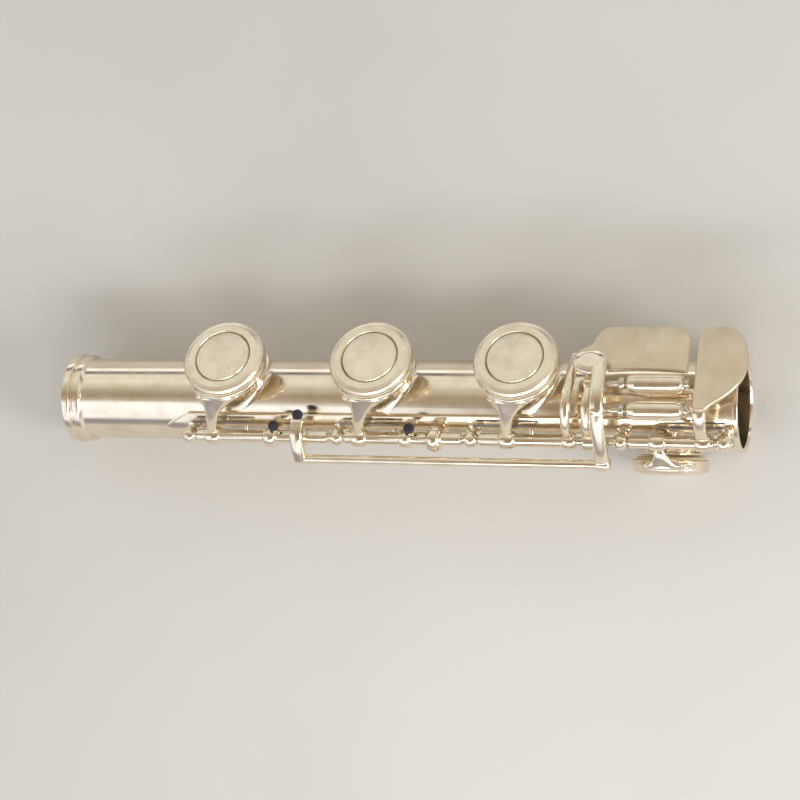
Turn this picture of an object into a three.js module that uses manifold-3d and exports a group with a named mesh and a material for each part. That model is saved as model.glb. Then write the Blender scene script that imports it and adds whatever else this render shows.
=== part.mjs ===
// Low-B foot joint of a concert flute, as an assembly of separate pieces.
//
// Millimetres. While the pieces are made, the tube's axis is the X axis: X = 0 is the open end and +X runs
// to the socket. +Z is the way the pads of the three open keys face when they are shut, and -Y is the side
// that the hinge rod is on. The finished assembly is rolled about the tube, to the way it lies on a table,
// and moved so that the origin is at the middle of the bottom of its bounding box.

import * as THREE from 'three';
import { mergeVertices } from 'three/addons/utils/BufferGeometryUtils.js';
import Module from 'manifold-3d';

const wasm = await Module();
wasm.setup();

// ---- driving dimensions -------------------------------------------------------------------------------

const GAP = 0.3;                 // left between soldered or resting pieces
const ROUND = 18;                // sides of small round pieces
const SHAFT_SIDES = 12;          // sides of shafts and of the bores that run on them
const CUP_SIDES = 24;
const TUBE_SIDES = 40;           // sides of the tube and its rings

const TUBE_OUTER = 9.9;
const TUBE_BORE = 9.5;
const TUBE_END = 159.6;
const SOCKET_START = 158.4;
const SOCKET_BORE = 10.0;
const SOCKET_OUTER = 10.8;
const RING_OUTER = 11.0;
const LENGTH = 167.7;

const HOLE_RIM = 11.7;           // height of a tone-hole rim above the tube's axis
const PAD_FACE = 12.0;           // height of a shut pad's face
const CUP_TOP = 16.1;            // height of a shut cup's flat rim
const OPEN_CUP_RADIUS = 10;
const OPEN_HOLE_RADIUS = 7.7;
const D_CUP_RADIUS = 8.8;
const D_HOLE_RADIUS = 6.5;

const ROD_DISTANCE = 14.34;      // hinge rod's axis from the tube's axis
const ROD_ANGLE = -80.6;         // degrees about the tube, from +Z towards -Y
const D_HOLE_ANGLE = -133.5;     // the same for the D sharp tone hole
const OPEN_ANGLE = 14;           // degrees that the three sprung-open keys stand open
const REST_ROLL = -34.85;        // degrees that the assembly is rolled to lie on a table

const STEEL_RADIUS = 1.0;
const STEEL_BORE = 1.08;
const HINGE_RADIUS = 1.55;
const BALL_RADIUS = 2.0;
const BOSS_RADIUS = 2.25;
const AXLE_RADIUS = 0.75;
const AXLE_BORE = 0.83;
const ROLLER_RADIUS = 2.2;
const BRIDGE_RADIUS = 1.1;
const NEEDLE_RADIUS = 0.3;
const BUMPER_RADIUS = 1.35;
const BAND_HEIGHT = [1.5, 3.1];  // where a cup arm's band runs, above the pad's face

const POSTS = [35.1, 72.8, 105.8, 141.3, 164.9];
const HALF_POST = BALL_RADIUS + 0.25;  // a hinge tube ends this far from the middle of a post
const HALF_GAP = 0.2;            // a hinge steel ends this far from the middle of a post that two share

// Each key's own frame has its origin on the hinge rod, +Y from the rod over the tube and +Z outwards.
const BRIDGE_PLACE = [-4.8, -2.2];
const C_ROLLER_PLACE = [9.7, 9.66];
const B_ROLLER_PLACE = [4.3, 7.1];
const ROLLER_SPAN = [143.4, 156.5];
const TOUCH_THICKNESS = 1.1;

// Places along the tube: each key's cup, the boss that its arm stands on, its spring hook and its collars.
const B_KEY = { cup: 45.3, boss: 41.2, hook: 49.8, collar: 56.1, link: 63.7, lever: 137.3 };
const C_KEY = { cup: 82.3, boss: 78.4, hook: 87.2, collar: 89.9, drive: 97.0, lever: 134.1 };
const C_SHARP_KEY = { cup: 117.4, boss: 114.6, hook: 120.4, arm: 129.3 };
const D_SHARP_KEY = { cup: 150.6, boss: 149.8, hook: 153.6, arm: 160.2 };

// ---- materials ----------------------------------------------------------------------------------------

const makeMaterial = (color, metalness, roughness) => () =>
  new THREE.MeshStandardMaterial({ color, metalness, roughness });

const silver = makeMaterial(0xd2c9b6, 1.0, 0.22);
const steel = makeMaterial(0xa9a69f, 1.0, 0.3);
const springSteel = makeMaterial(0x4a5266, 1.0, 0.35);
const padSkin = makeMaterial(0xdcc9a0, 0.0, 0.7);
const felt = makeMaterial(0x3b3547, 0.0, 0.95);

// ---- helpers ------------------------------------------------------------------------------------------

const radians = THREE.MathUtils.degToRad;
const rodAngle = radians(ROD_ANGLE);
const ROD_Y = ROD_DISTANCE * Math.sin(rodAngle);
const ROD_Z = ROD_DISTANCE * Math.cos(rodAngle);

// Keeps only merged positions, with the faces turned outwards.
function tidy(geometry) {
  geometry.deleteAttribute('normal');
  geometry.deleteAttribute('uv');
  const merged = mergeVertices(geometry, 1e-4);
  const p = merged.attributes.position;
  const index = merged.index;
  const [a, b, c] = [new THREE.Vector3(), new THREE.Vector3(), new THREE.Vector3()];
  let volume = 0;
  for (let i = 0; i < index.count; i += 3) {
    a.fromBufferAttribute(p, index.getX(i));
    b.fromBufferAttribute(p, index.getX(i + 1));
    c.fromBufferAttribute(p, index.getX(i + 2));
    volume += a.dot(b.cross(c));
  }
  if (volume < 0) {
    index.array.reverse();
  }
  return merged;
}

function toSolid(geometry) {
  const { attributes, index } = tidy(geometry);
  const mesh = new wasm.Mesh({
    numProp: 3,
    vertProperties: new Float32Array(attributes.position.array),
    triVerts: new Uint32Array(index.array),
  });
  return new wasm.Manifold(mesh);
}

function toGeometry(solid) {
  const { vertProperties, triVerts } = solid.getMesh();
  const geometry = new THREE.BufferGeometry();
  geometry.setAttribute('position', new THREE.BufferAttribute(vertProperties, 3));
  geometry.setIndex(new THREE.BufferAttribute(triVerts, 1));
  return geometry;
}

function join(...geometries) {
  return toGeometry(geometries.map(toSolid).reduce((whole, piece) => whole.add(piece)));
}

function cut(geometry, ...tools) {
  return toGeometry(tools.map(toSolid).reduce((whole, tool) => whole.subtract(tool), toSolid(geometry)));
}

// Turns the closed outline of [radius, height] points about Z.
function turned(outline, sides = ROUND) {
  const points = [...outline, outline[0]].map(([radius, height]) => new THREE.Vector2(radius, height));
  return new THREE.LatheGeometry(points, sides).rotateX(Math.PI / 2);
}

// Turns the closed outline of [x, radius] points about X.
function turnedAlongX(outline, sides = ROUND) {
  const points = [...outline, outline[0]].map(([x, radius]) => new THREE.Vector2(radius, x));
  return new THREE.LatheGeometry(points, sides).rotateZ(-Math.PI / 2);
}

function rodAlongX(start, end, radius, sides = ROUND, y = 0, z = 0) {
  const rod = new THREE.CylinderGeometry(radius, radius, end - start, sides).rotateZ(-Math.PI / 2);
  return rod.translate((start + end) / 2, y, z);
}

// A straight-sided bar whose middle line passes through the [y, z] points, as wide along X as width and
// 2 * half thick across, with round ends. It is centred on x at Y = 0 and leans by lean in X for each
// millimetre in Y.
function bar(points, half, x, width, lean = 0) {
  const line = new THREE.SplineCurve(points.map(([y, z]) => new THREE.Vector2(y, z)));
  const steps = 4 * (points.length - 1);
  const left = [];
  const right = [];
  for (let i = 0; i <= steps; i++) {
    const point = line.getPoint(i / steps);
    const along = line.getTangent(i / steps);
    const side = new THREE.Vector2(-along.y, along.x).multiplyScalar(half);
    left.push(point.clone().add(side));
    right.unshift(point.clone().sub(side));
  }
  const endCap = (centre, from) => [1, 2, 3].map((k) => from.clone().rotateAround(centre, -k * Math.PI / 4));
  const outline = new THREE.Shape([
    ...left,
    ...endCap(line.getPoint(1), left[steps]),
    ...right,
    ...endCap(line.getPoint(0), right[steps]),
  ]);
  const solid = new THREE.ExtrudeGeometry(outline, { depth: width, bevelEnabled: false });
  // The shape's own X and Y become the model's Y and Z, and its depth becomes X.
  const basis = new THREE.Matrix4().set(lean, 0, 1, x - width / 2, 1, 0, 0, 0, 0, 1, 0, 0, 0, 0, 0, 1);
  return solid.applyMatrix4(basis);
}

// A plate of the XY outline, with its underside at height z.
function plate(shape, thickness, z) {
  return new THREE.ExtrudeGeometry(shape, { depth: thickness, bevelEnabled: false, curveSegments: 5 })
    .translate(0, 0, z);
}

function addTo(group, name, geometry, material) {
  const mesh = new THREE.Mesh(tidy(geometry), material());
  mesh.name = name;
  group.add(mesh);
}

// ---- tube, rings, rib and posts -----------------------------------------------------------------------

const D_HOLE = { x: D_SHARP_KEY.cup, angle: D_HOLE_ANGLE, radius: D_HOLE_RADIUS };
const OPEN_HOLES = [B_KEY, C_KEY, C_SHARP_KEY]
  .map(({ cup }) => ({ x: cup, angle: 0, radius: OPEN_HOLE_RADIUS }));
const TONE_HOLES = [...OPEN_HOLES, D_HOLE];
const RIM_LIP = 0.8;             // how far a tone hole's rolled rim stands out from its inner wall

function placeAtHole(geometry, hole) {
  return geometry.rotateX(-radians(hole.angle)).translate(hole.x, 0, 0);
}

function addTube(group) {
  const chimneyWall = 0.45;
  const chimneyFoot = 2;
  const chimneys = TONE_HOLES.map((hole) => placeAtHole(turned([
    [0, chimneyFoot],
    [hole.radius + chimneyWall, chimneyFoot],
    [hole.radius + chimneyWall, HOLE_RIM - 0.7],
    [hole.radius + RIM_LIP, HOLE_RIM - 0.45],
    [hole.radius + RIM_LIP, HOLE_RIM - 0.1],
    [hole.radius + RIM_LIP - 0.2, HOLE_RIM],
    [0, HOLE_RIM],
  ]), hole));
  const holes = TONE_HOLES.map((hole) => placeAtHole(turned([
    [0, 0],
    [hole.radius, 0],
    [hole.radius, HOLE_RIM + 1],
    [0, HOLE_RIM + 1],
  ]), hole));
  const outside = join(rodAlongX(0, TUBE_END, TUBE_OUTER, TUBE_SIDES), ...chimneys);
  const bore = rodAlongX(-1, TUBE_END + 1, TUBE_BORE, TUBE_SIDES);
  addTo(group, 'body_tube', cut(outside, bore, ...holes), silver);
}

function addRings(group) {
  const inner = TUBE_OUTER + GAP;
  addTo(group, 'end_ring', turnedAlongX([
    [0, inner],
    [0, RING_OUTER - 0.2],
    [0.3, RING_OUTER],
    [1.9, RING_OUTER],
    [2.3, RING_OUTER - 0.45],
    [2.8, RING_OUTER - 0.25],
    [4.4, RING_OUTER - 0.3],
    [4.9, inner + 0.15],
    [4.9, inner],
  ], TUBE_SIDES), silver);
  const step = TUBE_END + GAP;
  addTo(group, 'socket_sleeve', turnedAlongX([
    [SOCKET_START, inner],
    [SOCKET_START, SOCKET_OUTER - 0.2],
    [SOCKET_START + 0.4, SOCKET_OUTER],
    [LENGTH - 1.0, SOCKET_OUTER],
    [LENGTH - 0.8, RING_OUTER],
    [LENGTH - 0.2, RING_OUTER],
    [LENGTH, RING_OUTER - 0.2],
    [LENGTH, SOCKET_BORE],
    [step, SOCKET_BORE],
    [step, inner],
  ], TUBE_SIDES), silver);
}

const RIB_INNER = TUBE_OUTER + GAP;
const RIB_OUTER = 10.9;

function addRib(group) {
  const [start, end] = [27.6, 157.6];
  const halfWidth = 3.6;
  const tip = 6;
  const shell = turnedAlongX([[start, RIB_INNER], [start, RIB_OUTER], [end, RIB_OUTER], [end, RIB_INNER]], 72);
  const outline = new THREE.Shape([
    new THREE.Vector2(start, 0),
    new THREE.Vector2(start + tip, halfWidth),
    new THREE.Vector2(end - 1, halfWidth),
    new THREE.Vector2(end, halfWidth - 1),
    new THREE.Vector2(end, 1 - halfWidth),
    new THREE.Vector2(end - 1, -halfWidth),
    new THREE.Vector2(start + tip, -halfWidth),
  ]);
  const window = plate(outline, RIB_OUTER, TUBE_OUTER - 2).rotateX(-rodAngle);
  const rib = toGeometry(toSolid(shell).intersect(toSolid(window)));
  const chimney = placeAtHole(rodAlongX(0, 20, D_HOLE_RADIUS + RIM_LIP + GAP).rotateY(-Math.PI / 2), D_HOLE);
  addTo(group, 'post_rib', cut(rib, chimney), silver);
}

// A ball-topped post standing out from the tube, bored along X for the hinge rod.
function postGeometry(x, seat) {
  const foot = seat + GAP;
  const ball = ROD_DISTANCE;
  const profile = [
    [0, foot],
    [1.7, foot],
    [1.7, foot + 0.4],
    [0.95, foot + 0.7],
    [0.95, ball - 1.6],
  ];
  const steps = 4;
  for (let step = 0; step < steps; step++) {
    const angle = radians(-50 + (140 / steps) * step);
    profile.push([BALL_RADIUS * Math.cos(angle), ball + BALL_RADIUS * Math.sin(angle)]);
  }
  profile.push([0, ball + BALL_RADIUS]);
  const post = turned(profile, SHAFT_SIDES).rotateX(-rodAngle).translate(x, 0, 0);
  const bore = rodAlongX(x - 4, x + 4, STEEL_BORE, SHAFT_SIDES, ROD_Y, ROD_Z);
  return cut(post, bore);
}

function addPosts(group) {
  POSTS.forEach((x, i) => {
    const seat = x > SOCKET_START ? SOCKET_OUTER : RIB_OUTER;
    addTo(group, `post_${i + 1}`, postGeometry(x, seat), silver);
  });
}

// A fixed steel hinge rod, with a screwdriver slot in the end at slotX.
function hingeSteel(start, end, slotX) {
  const slot = new THREE.BoxGeometry(1.0, 0.35, 3).translate(slotX, 0, 0);
  return cut(rodAlongX(start, end, STEEL_RADIUS, SHAFT_SIDES), slot);
}

function addFixedSteels(group) {
  const fixed = new THREE.Group();
  fixed.position.set(0, ROD_Y, ROD_Z);
  const headOut = 2.2;
  const [first, second, , fourth, last] = POSTS;
  addTo(fixed, 'b_hinge_steel', hingeSteel(first - headOut, second - HALF_GAP, first - headOut), steel);
  addTo(fixed, 'd_sharp_hinge_steel', hingeSteel(fourth + HALF_GAP, last + headOut, last + headOut), steel);
  group.add(fixed);
}

// Needle springs, each held in a post and lying beside the hinge rod to the key that it moves.
function addSprings(group) {
  const length = 15;
  const fromPost = 0.4;
  const needles = [['b_spring', 0, 1], ['c_spring', 1, 1], ['c_sharp_spring', 2, 1], ['d_sharp_spring', 4, -1]];
  const [y, z] = [ROD_Y + 2.5, ROD_Z + 2.0];
  for (const [name, post, way] of needles) {
    const start = POSTS[post] + way * fromPost;
    const ends = [start, start + way * length].sort((a, b) => a - b);
    addTo(group, name, rodAlongX(...ends, NEEDLE_RADIUS, 8, y, z), springSteel);
  }
}

// ---- pieces that the keys share -----------------------------------------------------------------------

// A hinge tube from start to end, with collars given as [x, width, radius].
function hingeTube(start, end, collars) {
  const outline = [[start, STEEL_BORE], [start, HINGE_RADIUS]];
  for (const [x, width, radius] of collars) {
    const [low, high] = [x - width / 2, x + width / 2];
    const round = width / 4;
    outline.push([low, HINGE_RADIUS], [low, radius - round], [low + round, radius]);
    outline.push([high - round, radius], [high, radius - round], [high, HINGE_RADIUS]);
  }
  outline.push([end, HINGE_RADIUS], [end, STEEL_BORE]);
  return turnedAlongX(outline, SHAFT_SIDES);
}

// The hinge tube with a small lug that the needle spring presses.
function hingeTubeWithHook(start, end, collars, hookX) {
  const lug = bar([[0.9, 0.72], [1.8, 1.44]], 0.35, hookX, 0.9);
  const bore = rodAlongX(start - 1, end + 1, STEEL_BORE, SHAFT_SIDES);
  return cut(join(hingeTube(start, end, collars), lug), bore);
}

// A key cup with its pad, its flat face marked by a ring groove. The pad faces -Z and the cup's axis is
// parallel to Z, at reach from the hinge rod; level is the height of the pad's face above the rod.
function addCup(group, key, x, reach, level, radius) {
  const top = level + CUP_TOP - PAD_FACE;
  const groove = radius * 0.67;
  const shell = radius - 0.6;
  const padTop = top - 1.2;
  const cup = turned([
    [0, padTop + GAP],
    [shell, padTop + GAP],
    [shell, level + 1],
    [radius, level + 1],
    [radius, top - 0.75],
    [radius - 0.5, top - 0.2],
    [groove + 0.3, top],
    [groove + 0.12, top - 0.25],
    [groove - 0.12, top - 0.25],
    [groove - 0.3, top],
    [0, top + 0.35],
  ], CUP_SIDES);
  const pad = turned([
    [0, level],
    [shell - 0.9, level],
    [shell - GAP, level + 0.6],
    [shell - GAP, padTop],
    [0, padTop],
  ], CUP_SIDES);
  addTo(group, `${key}_cup`, cup.translate(x, reach, 0), silver);
  addTo(group, `${key}_pad`, pad.translate(x, reach, 0), padSkin);
}

// A forked cup arm: a stem leaning up from the hinge tube, and a band that hugs the cup's side. The rod
// is on the -Y side of the cup. bossX is where the stem stands, and spread is the band's two angles, in
// degrees from the direction of the rod.
function cupArm(x, bossX, reach, level, radius, spread) {
  const bandInner = radius + GAP;
  const bandOuter = bandInner + 1.2;
  const [bandLow, bandHigh] = BAND_HEIGHT.map((height) => level + height);
  const [from, to] = spread.map((angle) => radians(angle - 90));
  const ring = new THREE.Shape();
  ring.absarc(0, 0, bandOuter, from, to, false);
  ring.absarc(0, 0, bandInner, to, from, true);
  const band = new THREE.ExtrudeGeometry(ring, {
    depth: bandHigh - bandLow, bevelEnabled: false, curveSegments: 12,
  }).translate(x, reach, bandLow);
  const footZ = BOSS_RADIUS + GAP;
  const topY = reach - (bandInner + bandOuter) / 2;
  const rise = bandHigh - footZ;
  const lean = topY / rise;
  const waistX = (bossX + x) / 2;
  const stemShape = new THREE.Shape([
    new THREE.Vector2(bossX - 1.2, 0),
    new THREE.Vector2(bossX + 1.2, 0),
    new THREE.Vector2(waistX + 1.5, rise / 2),
    new THREE.Vector2(x + 3.2, rise - 1.5),
    new THREE.Vector2(x + 3.4, rise),
    new THREE.Vector2(x - 3.4, rise),
    new THREE.Vector2(x - 3.2, rise - 1.5),
    new THREE.Vector2(waistX - 1.5, rise / 2),
  ]);
  const thickness = 1.1;
  const stem = new THREE.ExtrudeGeometry(stemShape, { depth: thickness, bevelEnabled: false });
  // The stem's own Y becomes Z and leans over, and its depth becomes Y.
  const leaning = new THREE.Matrix4().set(
    1, 0, 0, 0,
    0, lean, 1, -thickness / 2,
    0, 1, 0, footZ,
    0, 0, 0, 1,
  );
  return join(band, stem.applyMatrix4(leaning));
}

function addCupArm(group, key, ...place) {
  addTo(group, `${key}_cup_arm`, cupArm(...place), silver);
}

// A roller's axle with its collar and its end knob.
function axleGeometry(start, [y, z]) {
  const knob = ROLLER_SPAN[1] + GAP;
  const collar = ROLLER_SPAN[0] - 1.9;
  return turnedAlongX([
    [start, 0],
    [start, AXLE_RADIUS],
    [collar, AXLE_RADIUS],
    [collar + 0.3, AXLE_RADIUS + 0.8],
    [collar + 1.3, AXLE_RADIUS + 0.8],
    [collar + 1.6, AXLE_RADIUS],
    [knob, AXLE_RADIUS],
    [knob, AXLE_RADIUS + 0.4],
    [knob + 0.6, AXLE_RADIUS + 0.4],
    [knob + 1, AXLE_RADIUS],
    [knob + 1, 0],
  ], SHAFT_SIDES).translate(0, y, z);
}

function rollerGeometry([y, z]) {
  const [start, end] = ROLLER_SPAN;
  return turnedAlongX([
    [start, AXLE_BORE],
    [start, 1.3],
    [start + 0.6, 1.85],
    [start + 2, ROLLER_RADIUS],
    [end - 2, ROLLER_RADIUS],
    [end - 0.6, 1.85],
    [end, 1.3],
    [end, AXLE_BORE],
  ], SHAFT_SIDES).translate(0, y, z);
}

// A key group on the hinge rod, turned open by some degrees.
function keyGroup(parent, openAngle) {
  const group = new THREE.Group();
  group.position.set(0, ROD_Y, ROD_Z);
  group.rotation.x = radians(openAngle);
  parent.add(group);
  return group;
}

const OPEN_REACH = -ROD_Y;
const OPEN_LEVEL = PAD_FACE - ROD_Z;
const ARM_SPREAD = [-35, 72];
const BUMPER_OFFSET = 1.4;       // a bumper sits this far to the socket's side of its collar's middle

// A cushion resting on a collar or an arm end of the given radius, centred on [y, z].
function addBumper(group, name, x, radius, [y, z], [awayY, awayZ]) {
  const distance = radius + GAP + BUMPER_RADIUS;
  const away = new THREE.Vector2(awayY, awayZ).setLength(distance);
  addTo(group, name, new THREE.SphereGeometry(BUMPER_RADIUS, 14, 9).translate(x, y + away.x, z + away.y), felt);
}

// ---- the four keys ------------------------------------------------------------------------------------

function addBKey(assembly) {
  const group = keyGroup(assembly, OPEN_ANGLE);
  const [start, end] = [POSTS[0] + HALF_POST, POSTS[1] - HALF_POST];
  const { cup, boss, hook, collar, link, lever } = B_KEY;
  const collarRadius = 2.6;
  const collars = [[boss, 3.2, BOSS_RADIUS], [collar, 3, collarRadius]];
  addTo(group, 'b_hinge_tube', hingeTubeWithHook(start, end, collars, hook), silver);
  addCup(group, 'b', cup, OPEN_REACH, OPEN_LEVEL, OPEN_CUP_RADIUS);
  addCupArm(group, 'b', cup, boss, OPEN_REACH, OPEN_LEVEL, OPEN_CUP_RADIUS, ARM_SPREAD);
  addBumper(group, 'b_bumper', collar + BUMPER_OFFSET, collarRadius, [0, 0], [1, 3.4]);

  const hinge = rodAlongX(start, end, HINGE_RADIUS + GAP, SHAFT_SIDES);
  const linkTop = [1.4, 4.2];
  const linkHalf = 1.3;
  const linkWidth = 3.2;
  const linkBar = bar([linkTop, [-1, 2.2], [-2.6, 0], BRIDGE_PLACE], linkHalf, link, linkWidth);
  addTo(group, 'b_bridge_link', cut(linkBar, hinge), silver);
  addBumper(group, 'b_link_bumper', link, linkHalf, linkTop, [2.4, 2]);

  const leverWidth = 3;
  const bridgeStart = link + linkWidth / 2 + GAP;
  const bridgeEnd = lever - leverWidth / 2 - 2 * GAP;
  const bridge = rodAlongX(bridgeStart, bridgeEnd, BRIDGE_RADIUS, ROUND, ...BRIDGE_PLACE);
  addTo(group, 'b_bridge_rod', bridge, silver);

  const lean = 0.06;
  const path = [BRIDGE_PLACE, [-3.4, 2.4], [0.3, 8.3], [4.6, 11.8], [10, 12.9], [14.2, 12.5]];
  const arm = bar(path, 0.9, lever, leverWidth, lean);
  const lug = bar([[2, 10.2], B_ROLLER_PLACE], 1.2, lever, leverWidth, lean);
  const capRadius = 4.1;
  const cap = new THREE.CylinderGeometry(capRadius, capRadius, 1.4, ROUND).rotateX(Math.PI / 2)
    .scale(1, 0.82, 1)
    .translate(lever - 2.6, 13.7, 12.5);
  const axleHole = rodAlongX(lever - 3, lever + 3, AXLE_RADIUS + GAP, SHAFT_SIDES, ...B_ROLLER_PLACE);
  addTo(group, 'b_lever_arm', cut(join(arm, lug, cap), axleHole), silver);
  addTo(group, 'b_roller_axle', axleGeometry(lever - 1.2, B_ROLLER_PLACE), steel);
  addTo(group, 'b_roller', rollerGeometry(B_ROLLER_PLACE), silver);
}

function addCKey(assembly) {
  const group = keyGroup(assembly, OPEN_ANGLE);
  const [start, end] = [POSTS[1] + HALF_POST, POSTS[2] - HALF_POST];
  const { cup, boss, hook, collar, drive, lever } = C_KEY;
  const collarRadius = 2.3;
  const collars = [[boss, 3.2, BOSS_RADIUS], [collar, 2.6, collarRadius], [drive, 3.2, 3.1]];
  addTo(group, 'c_hinge_tube', hingeTubeWithHook(start, end, collars, hook), silver);
  addCup(group, 'c', cup, OPEN_REACH, OPEN_LEVEL, OPEN_CUP_RADIUS);
  addCupArm(group, 'c', cup, boss, OPEN_REACH, OPEN_LEVEL, OPEN_CUP_RADIUS, ARM_SPREAD);
  addBumper(group, 'c_bumper', collar + BUMPER_OFFSET, collarRadius, [0, 0], [1, 3.4]);
  const hingeSteelRod = rodAlongX(POSTS[1] + HALF_GAP, POSTS[3] - HALF_GAP, STEEL_RADIUS, SHAFT_SIDES);
  addTo(group, 'c_hinge_steel', hingeSteelRod, steel);

  const [hubHalf, armHalf] = [1.4, 1.05];
  const hub = turnedAlongX([
    [lever - hubHalf, STEEL_BORE],
    [lever - hubHalf, 2.1],
    [lever + hubHalf, 2.1],
    [lever + hubHalf, STEEL_BORE],
  ], SHAFT_SIDES);
  const lean = 0.07;
  const path = [[0.4, 1.7], [1.0, 5.4], [4.6, 9.0], C_ROLLER_PLACE, [13.0, 10.5]];
  const arm = bar(path, 0.9, lever, 2 * armHalf, lean);
  const eyeX = lever + lean * C_ROLLER_PLACE[0];
  const eye = rodAlongX(eyeX - armHalf, eyeX + armHalf, 1.6, SHAFT_SIDES, ...C_ROLLER_PLACE);
  const axleHole = rodAlongX(lever - 3, lever + 3, AXLE_RADIUS + GAP, SHAFT_SIDES, ...C_ROLLER_PLACE);
  const bore = rodAlongX(lever - 3, lever + 3, STEEL_BORE, SHAFT_SIDES);
  addTo(group, 'c_lever_arm', cut(join(hub, arm, eye), axleHole, bore), silver);
  addTo(group, 'c_roller_axle', axleGeometry(eyeX - 0.9, C_ROLLER_PLACE), steel);
  addTo(group, 'c_roller', rollerGeometry(C_ROLLER_PLACE), silver);
}

// The C sharp touch: a broad plate with a neck that runs back to its arm.
function cSharpTouchShape() {
  const shape = new THREE.Shape();
  shape.moveTo(132.0, 14.7);
  shape.lineTo(136.6, 14.5);
  shape.quadraticCurveTo(138.2, 14.4, 138.6, 12.9);
  shape.quadraticCurveTo(148, 13.6, 156.5, 12.7);
  shape.lineTo(157.0, 13.2);
  shape.lineTo(157.0, 20.6);
  shape.quadraticCurveTo(156.8, 24.5, 151.6, 24.7);
  shape.lineTo(141.4, 24.7);
  shape.quadraticCurveTo(137.2, 24.1, 135.0, 19.6);
  shape.lineTo(132.0, 18.4);
  return shape;
}

function addCSharpKey(assembly) {
  const group = keyGroup(assembly, OPEN_ANGLE);
  const [start, end] = [POSTS[2] + HALF_POST, 130.9];
  const { cup, boss, hook, arm } = C_SHARP_KEY;
  const collars = [[boss, 3.2, BOSS_RADIUS], [arm, 2.4, 2.0]];
  addTo(group, 'c_sharp_hinge_tube', hingeTubeWithHook(start, end, collars, hook), silver);
  addCup(group, 'c_sharp', cup, OPEN_REACH, OPEN_LEVEL, OPEN_CUP_RADIUS);
  addCupArm(group, 'c_sharp', cup, boss, OPEN_REACH, OPEN_LEVEL, OPEN_CUP_RADIUS, ARM_SPREAD);
  const path = [[0.2, 3.3], [1.0, 6.0], [4.6, 9.4], [10, 10.1], [17.6, 9.5]];
  addTo(group, 'c_sharp_touch_arm', bar(path, 0.9, arm, 2, 0.08), silver);
  addTo(group, 'c_sharp_touch', plate(cSharpTouchShape(), TOUCH_THICKNESS, 8.95), silver);
}

// The D sharp touch: a teardrop, straight on the side of its neighbour and narrow at its arm.
function dSharpTouchShape() {
  const shape = new THREE.Shape();
  shape.moveTo(159.0, 2.8);
  shape.lineTo(161.9, 2.6);
  shape.quadraticCurveTo(162.8, 3.9, 164.6, 5.2);
  shape.bezierCurveTo(168.4, 7.8, 170.5, 11.2, 170.5, 14.8);
  shape.bezierCurveTo(170.5, 20.3, 168.4, 24.3, 164.0, 24.4);
  shape.quadraticCurveTo(158.9, 24.5, 158.6, 21.4);
  return shape;
}

function addDSharpKey(assembly) {
  const touchSide = keyGroup(assembly, OPEN_ANGLE);
  const [start, end] = [POSTS[3] + HALF_POST, POSTS[4] - HALF_POST];
  const { cup, boss, hook, arm } = D_SHARP_KEY;
  const collars = [[boss, 3.2, 2.0], [arm, 2.8, 2.0]];
  addTo(touchSide, 'd_sharp_hinge_tube', hingeTubeWithHook(start, end, collars, hook), silver);
  const path = [[0.2, 3.4], [0.7, 5.6], [2.9, 8.1], [6.2, 8.4]];
  addTo(touchSide, 'd_sharp_touch_arm', bar(path, 0.8, arm, 2.8), silver);
  addTo(touchSide, 'd_sharp_touch', plate(dSharpTouchShape(), TOUCH_THICKNESS, 9.5), silver);

  // The cup side hangs past the rod, on the far side from the touch, square to its own tone hole.
  const cupSide = keyGroup(assembly, -D_HOLE_ANGLE);
  const fromHole = rodAngle - radians(D_HOLE_ANGLE);
  const reach = ROD_DISTANCE * Math.sin(fromHole);
  const level = PAD_FACE - ROD_DISTANCE * Math.cos(fromHole);
  addCup(cupSide, 'd_sharp', cup, -reach, level, D_CUP_RADIUS);
  const fork = cupArm(-cup, -boss, reach, level, D_CUP_RADIUS, [-48, 48]).rotateZ(Math.PI);
  addTo(cupSide, 'd_sharp_cup_arm', fork, silver);
}

// ---- assembly -----------------------------------------------------------------------------------------

const assembly = new THREE.Group();
assembly.rotation.x = radians(REST_ROLL);
addTube(assembly);
addRings(assembly);
addRib(assembly);
addPosts(assembly);
addFixedSteels(assembly);
addSprings(assembly);
addBKey(assembly);
addCKey(assembly);
addCSharpKey(assembly);
addDSharpKey(assembly);

const footJoint = new THREE.Group();
footJoint.add(assembly);
footJoint.updateMatrixWorld(true);
const bounds = new THREE.Box3().setFromObject(footJoint, true);
const middle = bounds.getCenter(new THREE.Vector3());
assembly.position.set(-middle.x, -middle.y, -bounds.min.z);
footJoint.updateMatrixWorld(true);

export default footJoint;
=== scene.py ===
"""The looks of a concert flute's low-B foot joint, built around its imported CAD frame.

Shapes are made in millimetres in the frame they belong to (the tube's, a key's or a cup's), and a matrix
puts them in the row frame in metres.
"""
import math

import bmesh
import bpy
from mathutils import Matrix, Vector


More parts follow.
